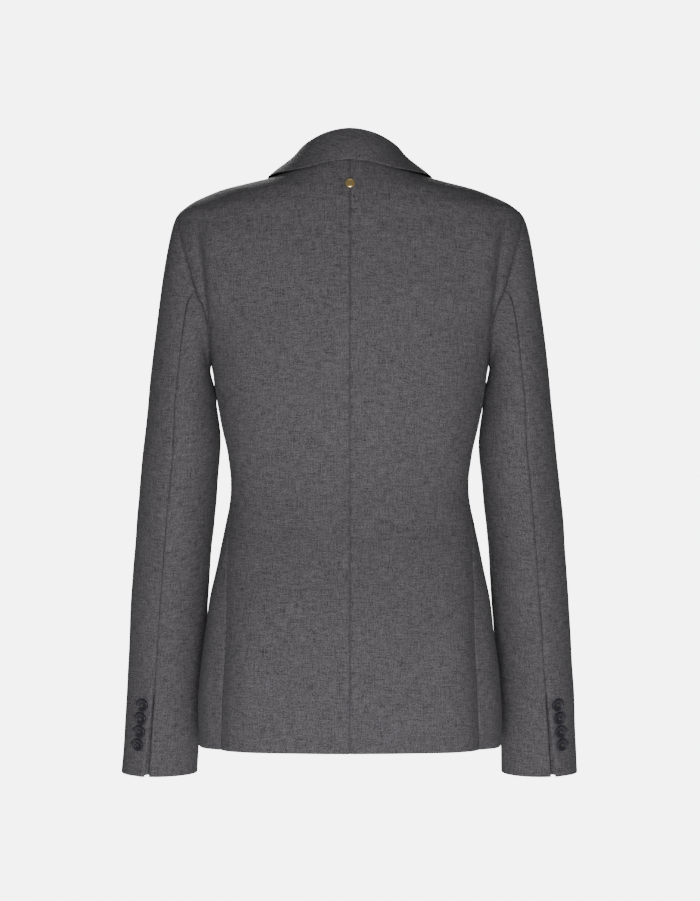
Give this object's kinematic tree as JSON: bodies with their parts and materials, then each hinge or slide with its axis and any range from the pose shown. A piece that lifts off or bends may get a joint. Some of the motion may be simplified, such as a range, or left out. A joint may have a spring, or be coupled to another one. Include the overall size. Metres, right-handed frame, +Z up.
{
  "type": "single breasted blazer",
  "caption": "Tailored, fitted single breasted blazer held in its worn, hollow form, with notched lapels, two-piece sleeves with buttoned cuff slits and a plain back with a centre seam",
  "frame": {"origin": "the middle of the neck base, at the height of the neck ends of the shoulder seams, where the wearer's shoulders hold the jacket", "axes": "+Z up along the body, -Y the way the wearer faces, +X the wearer's left"},
  "size_m": [0.5208, 0.2545, 0.7187],
  "materials": {
    "cloth": "matt charcoal wool with a fine melange",
    "button": "dark, softly polished, with a raised rim",
    "stud": "polished plain gold colour"
  },
  "bodies": {
    "root": {"back_left": "cloth", "back_right": "cloth", "side_left": "cloth", "side_right": "cloth", "front_left": "cloth", "front_right": "cloth", "lapel_left": "cloth", "lapel_right": "cloth", "upper_sleeve_left": "cloth", "upper_sleeve_right": "cloth", "under_sleeve_left": "cloth", "under_sleeve_right": "cloth", "collar_fall": "cloth", "collar_stand": "cloth", "cuff_button_left_1": "button", "cuff_button_left_2": "button", "cuff_button_left_3": "button", "cuff_button_left_4": "button", "cuff_button_right_1": "button", "cuff_button_right_2": "button", "cuff_button_right_3": "button", "cuff_button_right_4": "button", "front_button": "button", "back_stud": "stud"}
  },
  "joints": []
}
